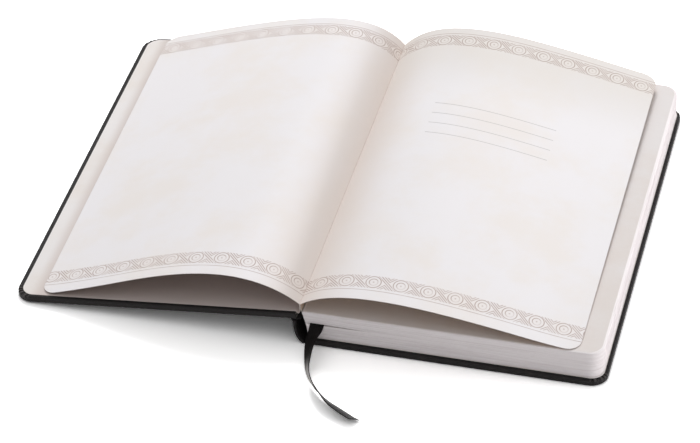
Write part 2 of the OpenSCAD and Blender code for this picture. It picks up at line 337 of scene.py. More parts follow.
# In each pitch a ring set stands at the middle: its strokes are where the distance to the middle, a
# little narrowed along the border, nears a ring's radius, and the inner ring fades on one side. Between
# ring sets a pair of strokes falls to the right. Two nested bent strokes open away from it above and
# below: they are where the lesser distance from the pair and from its crossing line has a fixed value.
def makeBorderGroup():
    group, given, result = newGroup(
        "printedBorder", [("Along", "NodeSocketFloat", 0.0), ("Across", "NodeSocketFloat", 0.0)],
        ["Lines", "Field"])
    pitch, half = border["pitch"], border["half"]
    along, across = given["Along"], given["Across"]
    turn = calc(group, "DIVIDE", along, pitch)
    fromRing = calc(group, "MULTIPLY", calc(group, "SUBTRACT", turn, calc(group, "ROUND", turn)), pitch)
    shifted = calc(group, "ADD", turn, 0.5)
    fromCross = calc(group, "MULTIPLY", calc(group, "SUBTRACT", shifted, calc(group, "ROUND", shifted)), pitch)
    wide = calc(group, "MULTIPLY", fromRing, border["narrow"])
    away = calc(group, "SQRT", calc(group, "ADD", calc(group, "MULTIPLY", wide, wide),
                                    calc(group, "MULTIPLY", across, across)))
    outer = stroke(group, calc(group, "SUBTRACT", away, border["outer"]), border["ringStroke"])
    inner = stroke(group, calc(group, "SUBTRACT", away, border["inner"]), border["ringStroke"])
    turned = fade(group, calc(group, "SUBTRACT", fromRing, across), -2.6, 2.6, 1.0, 0.35)
    eye = calc(group, "MULTIPLY", stroke(group, away, border["eye"], 0.35), 0.6)
    lines = calc(group, "MAXIMUM", outer, calc(group, "MAXIMUM", eye, calc(group, "MULTIPLY", inner, turned)))
    outside = fade(group, away, border["clear"] - 0.2, border["clear"] + 0.1)
    lean = math.radians(border["lean"])
    rise = calc(group, "MULTIPLY", across, math.cos(lean))
    run = calc(group, "MULTIPLY", fromCross, math.sin(lean))
    over, under = calc(group, "ADD", run, rise), calc(group, "SUBTRACT", run, rise)
    falling = stroke(group, calc(group, "SUBTRACT", calc(group, "ABSOLUTE", over), border["pair"]),
                     border["strand"])
    past = calc(group, "SUBTRACT", calc(group, "ABSOLUTE", over), border["bend"])
    below = calc(group, "MULTIPLY", calc(group, "MULTIPLY", under, -1.0), calc(group, "SIGN", over))
    nearer = calc(group, "MINIMUM", past, calc(group, "SUBTRACT", below, 0.15))
    bent = calc(group, "MAXIMUM", stroke(group, nearer, border["strand"]),
                stroke(group, calc(group, "SUBTRACT", nearer, border["bends"]), border["strand"]))
    strands = calc(group, "MAXIMUM", falling, calc(group, "MULTIPLY", bent, 0.9))
    inBand = fade(group, calc(group, "ABSOLUTE", across), half - 0.15, half + 0.15, 1.0, 0.0)
    between = calc(group, "MULTIPLY", calc(group, "MULTIPLY", strands, inBand), outside)
    group.links.new(calc(group, "MAXIMUM", lines, between), result["Lines"])
    group.links.new(fade(group, calc(group, "ABSOLUTE", across), 2.0, 5.5, 1.0, 0.0), result["Field"])
    return group


# Soft cloudy mottling of a parchment tint, and fine fibres for the surface
def makePaperGroup():
    group, given, result = newGroup(
        "paperSurface", [("Place", "NodeSocketVector", None), ("Clouds", "NodeSocketFloat", 22.0)],
        ["Mottle", "Fibre"])
    clouds = group.nodes.new("ShaderNodeTexNoise")
    group.links.new(given["Place"], clouds.inputs["Vector"])
    group.links.new(given["Clouds"], clouds.inputs["Scale"])
    clouds.inputs["Detail"].default_value = 5.0
    clouds.inputs["Roughness"].default_value = 0.62
    group.links.new(fade(group, clouds.outputs["Fac"], 0.38, 0.66), result["Mottle"])
    fine = noise(group, given["Place"], 1400.0, 3.0, 0.6)
    long = noise(group, stretched(group, given["Place"], (260.0, 1100.0, 260.0)), 1.0, 2.0, 0.5)
    group.links.new(calc(group, "ADD", calc(group, "MULTIPLY", fine, 0.6), calc(group, "MULTIPLY", long, 0.4)),
                    result["Fibre"])
    return group


# Pebbled leather grain: rounded cells with creases between them, roughened by noise
def makeGrainGroup():
    group, given, result = newGroup(
        "leatherGrain", [("Place", "NodeSocketVector", None)], ["Height", "Crease"])
    warped = group.nodes.new("ShaderNodeVectorMath")
    warped.operation = "ADD"
    shift = group.nodes.new("ShaderNodeTexNoise")
    group.links.new(given["Place"], shift.inputs["Vector"])
    shift.inputs["Scale"].default_value = 900.0
    scaled = group.nodes.new("ShaderNodeVectorMath")
    scaled.operation = "SCALE"
    scaled.inputs["Scale"].default_value = 0.0007
    group.links.new(shift.outputs["Color"], scaled.inputs[0])
    group.links.new(given["Place"], warped.inputs[0])
    group.links.new(scaled.outputs[0], warped.inputs[1])
    edge = cells(group, warped.outputs[0], 1150.0, "DISTANCE_TO_EDGE")
    pebble = fade(group, edge, 0.0, 0.22)
    fine = noise(group, given["Place"], 3200.0, 2.0, 0.6)
    group.links.new(calc(group, "ADD", calc(group, "MULTIPLY", pebble, 0.8), calc(group, "MULTIPLY", fine, 0.3)),
                    result["Height"])
    group.links.new(calc(group, "SUBTRACT", 1.0, pebble), result["Crease"])
    return group


borderGroup = makeBorderGroup()
paperGroup = makePaperGroup()
grainGroup = makeGrainGroup()

paper = {
    "white": srgb(240, 237, 239), "parchment": srgb(236, 226, 215), "ink": srgb(150, 120, 108),
    "inkShare": 0.68, "gutter": srgb(221, 210, 203), "gutterWide": 30.0, "plain": srgb(236, 232, 231), "plainWarm": srgb(230, 221, 213),
    "shade": srgb(208, 195, 190), "headTone": srgb(224, 218, 212),
}


# Parchment-tinted paper with a painted warm shade towards the gutter, a darker tone towards the head where the print
# asks for it, and a printed border at tail and head
def printedPaper(name, print_):
    material, tree, shader = newMaterial(name, Roughness=0.72)
    shader.inputs["Specular IOR Level"].default_value = 0.25
    along, across, flat = sheetPlace(tree)
    surface = useGroup(tree, paperGroup, Place=flat)
    colour = blendColour(tree, calc(tree, "MULTIPLY", surface["Mottle"], 0.4), paper["white"], paper["parchment"])
    # Painted shade: warmer, darker paper in the gutter's valley
    paintedGutterShade = fade(tree, along, 1.0, paper["gutterWide"], 0.85, 0.0)
    colour = blendColour(tree, paintedGutterShade, colour, paper["gutter"])
    lines = None
    for band in print_["bands"]:
        place = calc(tree, "MULTIPLY", calc(tree, "SUBTRACT", along, band["phase"]), print_["way"] * band["stretch"])
        rise = calc(tree, "SUBTRACT", across, band["middle"])
        drawn = useGroup(tree, borderGroup, Along=place, Across=rise)
        rule = calc(tree, "MULTIPLY", stroke(tree, calc(tree, "ADD", rise, band["rule"]), border["rule"]), 0.8)
        here = calc(tree, "MAXIMUM", drawn["Lines"], rule)
        lines = here if lines is None else calc(tree, "MAXIMUM", lines, here)
        colour = blendColour(tree, calc(tree, "MULTIPLY", drawn["Field"], 0.3), colour, srgb(233, 223, 217))
    high = fade(tree, across, pageH - 60, pageH - 15, 0.0, print_["headTone"])
    colour = blendColour(tree, high, colour, paper["headTone"])
    fadedInk = calc(tree, "MULTIPLY", lines, fade(tree, noise(tree, flat, 160.0, 3.0), 0.3, 0.6,
                                                 paper["inkShare"] * 0.75, paper["inkShare"]))
    colour = blendColour(tree, fadedInk, colour, paper["ink"])
    for line in print_.get("writingLines", ()):
        inside = calc(tree, "MULTIPLY", fade(tree, along, line["from"], line["from"] + 0.4),
                      fade(tree, along, line["to"] - 0.4, line["to"], 1.0, 0.0))
        place = calc(tree, "SUBTRACT", calc(tree, "ADD", across, calc(tree, "MULTIPLY", along, line["tilt"])),
                     line["at"])
        drawn = calc(tree, "MULTIPLY", stroke(tree, place, 0.12), calc(tree, "MULTIPLY", inside, 0.55))
        colour = blendColour(tree, drawn, colour, srgb(150, 145, 145))
    tree.links.new(colour, shader.inputs["Base Color"])
    tree.links.new(bump(tree, surface["Fibre"], 0.18, 0.00012), shader.inputs["Normal"])
    return material


# Unprinted paper, with a soft shade where the piece's shade attribute asks for it
def plainPaper(name, light, warm, clouds=22.0):
    material, tree, shader = newMaterial(name, Roughness=0.75)
    shader.inputs["Specular IOR Level"].default_value = 0.22
    place = objectPlace(tree)
    surface = useGroup(tree, paperGroup, Place=place, Clouds=clouds)
    colour = blendColour(tree, calc(tree, "MULTIPLY", surface["Mottle"], 0.6), light, warm)
    shade = tree.nodes.new("ShaderNodeAttribute")
    shade.attribute_name = "shade"
    tree.links.new(blendColour(tree, shade.outputs["Fac"], colour, paper["shade"]), shader.inputs["Base Color"])
    tree.links.new(bump(tree, surface["Fibre"], 0.18, 0.00012), shader.inputs["Normal"])
    return material


# Cut edges of many leaves: thin streaks along the stack, some darker, and broader darker bands; the tops are plain
# paper
def pageEdges():
    material, tree, shader = newMaterial("pageEdges", Roughness=0.8)
    shader.inputs["Specular IOR Level"].default_value = 0.15
    place = objectPlace(tree)
    wall = tree.nodes.new("ShaderNodeAttribute")
    wall.attribute_name = "wall"
    streaks = noise(tree, stretched(tree, place, (26.0, 26.0, 4200.0)), 1.0, 4.0, 0.75)
    broad = noise(tree, stretched(tree, place, (14.0, 14.0, 900.0)), 1.0, 2.0, 0.6)
    dark = calc(tree, "ADD", fade(tree, streaks, 0.5, 0.72, 0.0, 0.4), fade(tree, broad, 0.5, 0.75, 0.0, 0.2))
    side = blendColour(tree, dark, srgb(250, 244, 245), srgb(194, 180, 181))
    surface = useGroup(tree, paperGroup, Place=place)
    top = blendColour(tree, surface["Mottle"], srgb(231, 226, 225), srgb(227, 219, 215))
    tree.links.new(blendColour(tree, wall.outputs["Fac"], top, side), shader.inputs["Base Color"])
    ripple = noise(tree, stretched(tree, place, (55.0, 420.0, 55.0)), 1.0, 2.0, 0.5)
    height = calc(tree, "ADD", calc(tree, "MULTIPLY", streaks, wall.outputs["Fac"]),
                  calc(tree, "MULTIPLY", ripple, calc(tree, "SUBTRACT", 1.0, wall.outputs["Fac"])))
    tree.links.new(bump(tree, height, 0.35, 0.0002), shader.inputs["Normal"])
    return material


def leatherMaterial():
    material, tree, shader = newMaterial("blackLeatherette")
    shader.inputs["Specular IOR Level"].default_value = 0.16
    place = objectPlace(tree)
    grain = useGroup(tree, grainGroup, Place=place)
    pleatShading = tree.nodes.new("ShaderNodeAttribute")
    pleatShading.attribute_name = "pleatShading"
    worn = noise(tree, place, 60.0, 4.0, 0.6)
    colour = blendColour(tree, calc(tree, "MULTIPLY", grain["Crease"], 0.7), srgb(31, 28, 28), srgb(17, 15, 15))
    colour = blendColour(tree, fade(tree, worn, 0.5, 0.75, 0.0, 0.35), colour, srgb(46, 42, 41))
    # Painted highlight on the pleats' ridges, then painted shade in their grooves
    colour = blendColour(tree, fade(tree, pleatShading.outputs["Fac"], -1.0, -0.55, 0.4, 0.0), colour, srgb(104, 98, 97))
    colour = blendColour(tree, fade(tree, pleatShading.outputs["Fac"], 0.1, 0.8, 0.0, 0.9), colour, srgb(7, 6, 6))
    tree.links.new(colour, shader.inputs["Base Color"])
    tree.links.new(fade(tree, worn, 0.35, 0.7, 0.44, 0.58), shader.inputs["Roughness"])
    tree.links.new(bump(tree, grain["Height"], 0.5, 0.00022), shader.inputs["Normal"])
    return material


# Woven satin: close ribs across the ribbon, a painted silver highlight at its twist and duller selvedges
def ribbonMaterial():
    material, tree, shader = newMaterial("satinRibbon", Anisotropic=0.4)
    shader.inputs["Specular IOR Level"].default_value = 0.05
    along, across, flat = sheetPlace(tree)
    ribs = calc(tree, "SINE", calc(tree, "MULTIPLY", along, 2 * math.pi / 0.55))
    threads = calc(tree, "SINE", calc(tree, "MULTIPLY", across, 2 * math.pi / 0.3))
    uneven = noise(tree, stretched(tree, flat, (300.0, 2600.0, 1.0)), 1.0, 3.0, 0.6)
    selvedge = fade(tree, calc(tree, "ABSOLUTE", across), 2.6, 2.95)
    sheen = calc(tree, "ADD", fade(tree, uneven, 0.35, 0.7, 0.0, 0.5), calc(tree, "MULTIPLY", ribs, 0.12), clamp=True)
    colour = blendColour(tree, sheen, srgb(17, 15, 15), srgb(42, 38, 38))
    colour = blendColour(tree, calc(tree, "MULTIPLY", selvedge, 0.85), colour, srgb(14, 12, 12))
    # Painted highlight: a silver band on one half of the ribbon where it twists
    twistHighlightReach = calc(tree, "MULTIPLY", fade(tree, along, 35.0, 46.0), fade(tree, along, 49.0, 54.0, 1.0, 0.0))
    twistHighlight = calc(tree, "MULTIPLY", twistHighlightReach, fade(tree, across, -0.6, 1.6, 0.75, 0.0))
    colour = blendColour(tree, twistHighlight, colour, srgb(205, 200, 197))
    tree.links.new(colour, shader.inputs["Base Color"])
    tree.links.new(fade(tree, selvedge, 0.0, 1.0, 0.34, 0.6), shader.inputs["Roughness"])
    weave = calc(tree, "ADD", calc(tree, "MULTIPLY", ribs, 0.5), calc(tree, "MULTIPLY", threads, 0.25))
    tree.links.new(bump(tree, weave, 0.45, 0.00012), shader.inputs["Normal"])
    return material


# Pressed grey board with darker flecks and fibres
def boardMaterial(name, tone, fleck):
    material, tree, shader = newMaterial(name, Roughness=0.85)
    place = objectPlace(tree)
    surface = useGroup(tree, paperGroup, Place=place, Clouds=60.0)
    flecks = fade(tree, noise(tree, place, 1900.0, 2.0, 0.7), 0.58, 0.7, 0.0, 0.6)
    colour = blendColour(tree, calc(tree, "MULTIPLY", surface["Mottle"], 0.4), tone, fleck)
    tree.links.new(blendColour(tree, flecks, colour, fleck), shader.inputs["Base Color"])
    tree.links.new(bump(tree, surface["Fibre"], 0.3, 0.0002), shader.inputs["Normal"])
    return material


leather = leatherMaterial()
edges = pageEdges()
endpaperPlain = plainPaper("endpaperPlain", paper["plain"], paper["plainWarm"])
# Painted shade: the leaves' undersides are the same paper painted darker and browner, for the shade under their
# arches
titleUndersideShade = plainPaper("titleUndersideShade", srgb(228, 205, 186), srgb(212, 188, 166), 60.0)
flyUndersideShade = plainPaper("flyUndersideShade", srgb(184, 164, 156), srgb(170, 150, 140), 60.0)
greyBoard = boardMaterial("greyBoard", srgb(150, 146, 140), srgb(104, 100, 96))
spineCard = boardMaterial("spineCard", srgb(58, 55, 52), srgb(36, 34, 32))
liningPaper = plainPaper("liningPaper", srgb(228, 225, 218), srgb(214, 208, 198), 90.0)
satin = ribbonMaterial()
print("materials made")

# Ribbon marker: its route and roll are the ones of the frame's ribbon_marker
ribbon = {
    "route": [(2, 20, 10.3), (2, 14, 10.3), (2, 8, 10.3), (2, 2.4, 10.3),
              (2.1, -0.5, 10), (1.9, -3.3, 9.4), (1.6, -6.2, 8.8), (1.5, -9.2, 8),
              (1.8, -12.3, 6.9), (2.3, -15.6, 5.9), (2.9, -18.7, 5.1), (3.6, -21.4, 4.7),
              (4.5, -24, 4.5), (5.6, -26.5, 4.4), (6.9, -28.8, 4.3), (8.4, -31.2, 4.1),
              (10, -33.3, 4.1), (11.7, -35.3, 4), (13.5, -37.2, 3.9), (15.5, -39, 3.6),
              (17.7, -40.7, 3.2), (19.9, -42.1, 2.9), (24.1, -44.6, 2.6), (28.3, -46.9, 2.3),
              (31.9, -48.6, 2.2)],
    "roll": [0, 0, 0, 0, 5, 14, 26, 39, 49, 58, 66, 75, 83, 92, 100, 106, 111, 116, 123, 131, 139, 145,
             149, 149, 148],
    "width": 6.4, "thickness": 0.3, "selvedge": 0.1, "cup": 0.2, "tipCut": 1.8, "stations": 240, "across": 17,
    "exit": (2, 2.1, 10.3),
}


# A smooth path through the points: on each span a cubic whose end slopes are the chords beside it
def throughPoints(points, steps):
    p = np.asarray(points, float)
    p = p.reshape(len(p), -1)
    slopes = np.gradient(p, axis=0)
    t = np.linspace(0, len(p) - 1, steps)
    i = np.minimum(t.astype(int), len(p) - 2)
    f = (t - i)[:, None]
    a, b, da, db = p[i], p[i + 1], slopes[i], slopes[i + 1]
    return ((2 * f ** 3 - 3 * f ** 2 + 1) * a + (f ** 3 - 2 * f ** 2 + f) * da
            + (3 * f ** 2 - 2 * f ** 3) * b + (f ** 3 - f ** 2) * db)


# A flat section carried along the route. Its across direction is level with the heading, turned by the
# roll, and its far end is cut slantwise.
def makeRibbon():
    route = throughPoints(ribbon["route"], 900)
    roll = np.radians(throughPoints(ribbon["roll"], 900)[:, 0])
    lengths = arcLengths(route)
    total = lengths[-1]
    heading = np.gradient(route, axis=0)
    heading /= np.linalg.norm(heading, axis=1)[:, None]
    level = np.stack([-heading[:, 1], heading[:, 0], np.zeros(len(route))], -1)
    level /= np.linalg.norm(level, axis=1)[:, None]
    up = np.cross(heading, level)
    across = np.cos(roll)[:, None] * level + np.sin(roll)[:, None] * up
    face = np.cos(roll)[:, None] * up - np.sin(roll)[:, None] * level

    half = ribbon["width"] / 2
    w = np.linspace(-1, 1, ribbon["across"])
    thick = ribbon["thickness"] / 2 + ribbon["selvedge"] * smoothStep(np.abs(w), 0.86, 0.93)
    thick *= np.sqrt(np.clip(1 - np.clip((np.abs(w) - 0.93) / 0.07, 0, 1) ** 2, 0.02, 1))
    side = np.concatenate([w, w[::-1]])
    lift = np.concatenate([thick, -thick[::-1]])
    s = np.linspace(0, total, ribbon["stations"])[:, None]
    slant = ribbon["tipCut"] * (side + 1) / 2 * smoothStep(s, total - 3 * ribbon["tipCut"], total)
    at = np.clip(s - slant, 0, total)
    pick = lambda field: np.stack([np.interp(at, lengths, field[:, k]) for k in range(3)], -1)
    cup = ribbon["cup"] * (side ** 2 - 0.4) * smoothStep(s, 22, 34)
    points = pick(route) + side[None, :, None] * half * pick(across) + (lift + cup)[..., None] * pick(face)
    uv = np.stack([at, np.broadcast_to(side * half, at.shape)], -1)
    rows, columns = at.shape
    quads = gridFaces(rows, columns, closeColumns=True)
    caps = [range(columns), range((rows - 1) * columns, rows * columns)]
    piece = makePiece("ribbonMarker", points.reshape(-1, 3), quads, satin, uv.reshape(-1, 2), caps)
    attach(piece, "pages")
    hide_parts("ribbon_marker")
    return piece


makeRibbon()
print("ribbon made")

# Leaves: both are ruled between a curve at the tail and one at the head, fuller in the middle
leafY0, leafY1 = blockLow[1], blockHigh[1]
pageH = leafY1 - leafY0
titleLeaf = {
    "tail": [(-5.7, 20.35), (20.31, 40.24), (90, 18.4), (120, 16.9)],
    "head": [(-5.7, 20.35), (15.73, 46.37), (60, 32.48), (120, 20.32)],
    "foot": (-5.15, 16.7), "corner": 7.0, "thickness": 0.2, "columns": 170, "rows": 90, "seed": 11,
}
flyleaf = {
    "tail": [(1.9, 3.6), (36.02, 34.31), (90, 4.87), (124, 0.35)],
    "head": [(1.9, 3.6), (19.16, 28.21), (65, 15.0), (124, 1.3)],
    "foot": (2.15, 0.15), "corner": 7.0, "thickness": 0.2, "columns": 170, "rows": 90, "seed": 12,
}
titlePrint = {
    "way": 1, "headTone": 0.6, "bands": [
        {"middle": 12.35, "rule": 5.85, "phase": 7.7, "stretch": 0.987},
        {"middle": pageH - 10.4, "rule": -5.6, "phase": 1.3, "stretch": 1.015},
    ],
    "writingLines": [{"at": pageH - 62.3 - 7.85 * k, "from": 31.8, "to": 91.0, "tilt": 0.014} for k in range(4)],
}
flyPrint = {
    "way": -1, "headTone": 0.0, "bands": [
        {"middle": 12.2, "rule": 5.95, "phase": 4.6, "stretch": 1.021},
        {"middle": pageH - 10.8, "rule": -5.2, "phase": 0.9, "stretch": 1.027},
    ],
}


# Length along from the fold, share of height across. A section is a straight stem up to the fold, then
# an arch. Across, points run straight from the tail's section to the head's, with slow waves of under a
# tenth of a millimetre. Towards the outer end the height shrinks by a quarter circle, which rounds the
# two corners.
def leafSurface(leaf):
    rng = np.random.default_rng(leaf["seed"])
    arches = [bezier(leaf[edge]) for edge in ("tail", "head")]
    length = (arcLengths(arches[0])[-1] + arcLengths(arches[1])[-1]) / 2
    corner = leaf["corner"]
    inner = np.linspace(0, 1, leaf["columns"] - 24) ** 1.15 * (1 - corner / length)
    turned = 1 - corner / length * (1 - np.sin(np.linspace(0, math.pi / 2, 25)[1:]))
    share = np.concatenate([inner, turned])
    stem = np.linspace(leaf["foot"], leaf["tail"][0], 8)[:-1]
    fromFold = -np.linalg.norm(stem - leaf["tail"][0], axis=1)
    along = np.concatenate([fromFold, share * length])[:, None]
    past = np.clip(corner - (length - along), 0, corner)
    inset = corner - np.sqrt(corner ** 2 - past ** 2)
    y = inset + (pageH - 2 * inset) * np.linspace(0, 1, leaf["rows"])
    a, b = (np.concatenate([stem, resample(arch, share)])[:, None, :] for arch in arches)
    flat = a + (b - a) * (y / pageH)[..., None]
    for _ in range(5):
        kx, ky = rng.uniform(0.02, 0.07), rng.uniform(0.015, 0.05)
        wave = np.sin(kx * along + ky * y + rng.uniform(0, 2 * math.pi))
        flat[..., 1] += 0.07 * wave * smoothStep(along, 8, 40) * smoothStep(length - along, 10, 40)
    uv = np.stack([np.broadcast_to(along, y.shape), y], -1)
    return flat, y, uv


def makeTitleLeaf():
    flat, y, uv = leafSurface(titleLeaf)
    points = np.stack([flat[..., 0], leafY0 + y, flat[..., 1]], -1)
    piece = makePiece("titleLeaf", points.reshape(-1, 3), gridFaces(*y.shape),
                      printedPaper("titlePaper", titlePrint), uv.reshape(-1, 2), merge=False)
    sharpen(piece)
    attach(piece, "pages")
    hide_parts("title_leaf")
    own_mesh(piece)
    solidify(piece, titleLeaf["thickness"], 0, titleUndersideShade)


def makeFlyleaf():
    flat, y, uv = leafSurface(flyleaf)
    x, z = onCover(flat[..., 0], flat[..., 1])
    points = np.stack([x, leafY0 + y, z], -1)
    piece = makePiece("flyleaf", points.reshape(-1, 3), gridFaces(*y.shape)[:, ::-1],
                      printedPaper("flyPaper", flyPrint), uv.reshape(-1, 2), merge=False)
    sharpen(piece)
    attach(piece, "front_cover")
    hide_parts("front_endpaper")
    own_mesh(piece)
    solidify(piece, flyleaf["thickness"], 0, flyUndersideShade)


makeTitleLeaf()
makeFlyleaf()
print("leaves made")

# Front pastedown: flat on the cover, dipping into the joint before it folds up into the flyleaf
pastedown = {"rim": 1.7, "foreRim": 2.5, "corner": 6.3, "from": 2.1, "dipAt": 2.9, "dipWide": 0.6,
             "dip": 0.2, "endDip": 1.0, "shade": 0.75, "shadeEnd": 130.5, "columns": 110, "rows": 90}


# U and y of a plain sheet whose outer corners are round, lowered by a bell curve at the joint that is
# deeper at both ends, where the sheet's cut edge shows. It is shaded under the flyleaf and a little past it.
def makePastedown():
    p = pastedown
    end = jointW / 2 + boardW - p["foreRim"]
    near = np.linspace(p["from"], 9, 24)[:-1]
    far = np.linspace(9, end - p["corner"], p["columns"] - 40)
    turned = end - p["corner"] * (1 - np.sin(np.linspace(0, math.pi / 2, 18)[1:]))
    u = np.concatenate([near, far, turned])
    past = np.clip(p["corner"] - (end - u), 0, p["corner"])
    inset = p["corner"] - np.sqrt(p["corner"] ** 2 - past ** 2) + p["rim"]
    v = (1 - np.cos(math.pi * np.linspace(0, 1, p["rows"]))) / 2
    y = inset[:, None] + (boardH - 2 * inset[:, None]) * v
    fromEnd = np.minimum(y, boardH - y) - p["rim"]
    dip = p["dip"] + p["endDip"] * (1 - smoothStep(fromEnd, 0.5, 5))
    n = -0.02 - dip * np.exp(-((u[:, None] - p["dipAt"]) / p["dipWide"]) ** 2)
    x, z = onCover(u[:, None], n)
    points = np.stack([x, y, z], -1)
    shade = p["shade"] * smoothStep(u, p["shadeEnd"], p["shadeEnd"] - 7)[:, None] + 0 * y
    piece = makePiece("frontPastedown", points.reshape(-1, 3), gridFaces(*y.shape)[:, ::-1], endpaperPlain,
                      merge=False, values={"shade": shade})
    sharpen(piece)
    solidify(piece, 0.22, -1)
    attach(piece, "front_cover")
    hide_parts("front_endpaper")


makePastedown()

# Page block: about sixty ridged packs of leaves, parted round the ribbon
block = {"corner": 7.0, "packs": 60, "splitZ": 10.3, "spineLow": 2.2, "spineHigh": 5.2, "ragged": 0.06,
         "gapHalf": 0.4, "gapLeft": -1.35, "gapRight": 5.35, "gapRun": 24.0, "gapDepth": 26.0,
         "foreRound": 1.3, "sideRound": 0.3, "spineRound": 1.3}


def spineSide(z):
    k = np.clip((z - blockLow[2]) / (blockHigh[2] - blockLow[2]), 0, 1)
    return -block["spineLow"] - (block["spineHigh"] - block["spineLow"]) * k ** 1.6


# How far the top sheets draw back: a quarter circle of the given radius below the top
def topRound(z, radius):
    k = np.clip((z - blockHigh[2]) / np.maximum(radius, 1e-6) + 1, 0, 1)
    return radius * (1 - np.sqrt(1 - 0.98 * k ** 2))


# Plan of the pages: share of the width and fixed places, with outward directions
def blockOutline():
    r, x1 = block["corner"], blockHigh[0]
    y0, y1 = blockLow[1], blockHigh[1]
    along = np.linspace(0, 1, 60)
    turn = np.linspace(0, math.pi / 2, 17)[1:-1]
    rows = []
    for t in along:
        rows.append((1 - t, t * (x1 - r), y0, 0, -1))
    for a in turn:
        rows.append((0, x1 - r + r * math.sin(a), y0 + r - r * math.cos(a), math.sin(a), -math.cos(a)))
    for t in np.linspace(0, 1, 70):
        rows.append((0, x1, y0 + r + t * (y1 - y0 - 2 * r), 1, 0))
    for a in turn:
        rows.append((0, x1 - r + r * math.cos(a), y1 - r + r * math.sin(a), math.cos(a), math.sin(a)))
    for t in along:
        rows.append((t, (1 - t) * (x1 - r), y1, 0, 1))
    for t in np.linspace(0, 1, 14)[1:-1]:
        rows.append((1, 0, y1 + t * (y0 - y1), -1, 0))
    return np.array(rows)


# How far the ribbon lifts or lowers the pages at a place
def parting(x, y, z):
    b = block
    across = smoothStep(x, b["gapLeft"] - 1.5, b["gapLeft"]) * np.clip(
        1 - (x - b["gapRight"]) / b["gapRun"], 0, 1) ** 1.1
    depth = 1 - smoothStep(y - blockLow[1], b["gapDepth"] - 8, b["gapDepth"])
    near = np.exp(-np.abs(z - b["splitZ"]) / 2.2)
    ends = np.where(z > b["splitZ"], (blockHigh[2] - z) / (blockHigh[2] - b["splitZ"]),
                    (z - blockLow[2]) / (b["splitZ"] - blockLow[2]))
    return b["gapHalf"] * across * depth * near * np.clip(ends, 0, 1)


# Rings of the outline, two per pack, each pack set out or in a little, and the ends closed by rings
# drawn in towards the middle
def blockHalf(z0, z1, side, seed):
    rng = np.random.default_rng(seed)
    plan = blockOutline()
    packs = max(2, round(block["packs"] * (z1 - z0) / (blockHigh[2] - blockLow[2])))
    levels = np.linspace(z0, z1, packs + 1)
    z = np.repeat(levels, 2)[1:-1]
    pack = np.repeat(np.arange(packs), 2)
    out = rng.normal(0, block["ragged"], packs)
    slow = rng.uniform(0, 2 * math.pi, packs)
    place = np.arange(len(plan)) / len(plan) * 2 * math.pi
    push = out[pack][:, None] + 0.04 * np.sin(3 * place[None, :] + slow[pack][:, None])
    push = np.clip(push, -0.16, 0.16)
    left = spineSide(z)[:, None] + topRound(z, block["spineRound"])[:, None]
    fore = np.clip(plan[:, 3], 0, 1)
    radius = block["sideRound"] + (block["foreRound"] - block["sideRound"]) * fore
    push = push - topRound(z[:, None], radius[None, :])
    x = plan[:, 0] * left + plan[:, 1] + push * np.where(plan[:, 3] < 0, 0, plan[:, 3])
    y = np.broadcast_to(plan[:, 2], x.shape) + push * plan[:, 4]
    drawIn = np.array([0.004, 0.012, 0.03, 0.06, 0.1, 0.15, 0.22, 0.32, 0.5, 0.75, 1.0])
    centre = np.array([blockHigh[0] / 2, (blockLow[1] + blockHigh[1]) / 2])

    def ends(row):
        shares = drawIn[:, None]
        return x[row] + (centre[0] - x[row]) * shares, y[row] + (centre[1] - y[row]) * shares

    bottomX, bottomY = ends(0)
    topX, topY = ends(-1)
    allX = np.concatenate([bottomX[::-1], x, topX])
    allY = np.concatenate([bottomY[::-1], y, topY])
    allZ = np.concatenate([np.full(len(drawIn), z0), z, np.full(len(drawIn), z1)])[:, None] + np.zeros_like(allX)
    allZ = allZ + side * parting(allX, allY, allZ)
    wall = np.concatenate([np.zeros(len(drawIn)), np.ones(len(z)), np.zeros(len(drawIn))])
    points = np.stack([allX, allY, allZ], -1)
    return points, np.broadcast_to(wall[:, None], allX.shape)


def makePageBlock():
    split = block["splitZ"]
    lower, wallLow = blockHalf(blockLow[2], split - 0.01, -1, 21)
    upper, wallHigh = blockHalf(split + 0.01, blockHigh[2], 1, 22)
    first = gridFaces(*lower.shape[:2], closeColumns=True)
    second = gridFaces(*upper.shape[:2], closeColumns=True) + lower.shape[0] * lower.shape[1]
    points = np.concatenate([lower.reshape(-1, 3), upper.reshape(-1, 3)])
    wall = np.concatenate([wallLow.ravel(), wallHigh.ravel()])
    piece = makePiece("pageBlock", points, np.concatenate([first, second]), edges, values={"wall": wall})
    sharpen(piece, 50)
    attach(piece, "pages")
    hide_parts("text_block")


makePageBlock()
print("pages made")

# Covers: leatherette wrapped round the boards, gathered in pleats at the outer corners
cover = {"corner": 8.0, "skin": 0.4, "turnIn": 15.0, "spineTurn": 0.6, "flat": 24.0, "lowRound": 0.5,
         "highRound": 0.8, "pleats": 5, "pleatDepth": 0.5, "cornerPoints": 96}


# Inset from the edge and height of the section, from the outer face round the edge to the turned-in
# strip, then back inside the wall
def coverSection():
    low, high, t, w = cover["lowRound"], cover["highRound"], coverT, cover["turnIn"]
    quarter = np.linspace(0, math.pi / 2, 7)
    lower = np.stack([low * (1 - np.sin(quarter)), -insideT + low * (1 - np.cos(quarter))], -1)
    upper = np.stack([high * (1 - np.cos(quarter)), -insideT + t - high * (1 - np.sin(quarter))], -1)
    outerFlat = [(cover["flat"], -insideT), (10, -insideT), (5, -insideT), (2.4, -insideT)]
    inner = -insideT + t
    turned = [(1.9, inner), (3.2, inner), (6, inner), (10, inner), (w - 0.25, inner), (w, inner - 0.1),
              (w, inner - cover["skin"])]
    skin = cover["skin"]
    back = [(5, inner - skin), (1.4, inner - skin), (0.5, inner - 1.3), (0.5, -insideT + 1.3),
            (1.4, -insideT + skin), (5, -insideT + skin), (cover["flat"], -insideT + skin)]
    return np.array(outerFlat + lower.tolist() + upper.tolist() + turned + back)


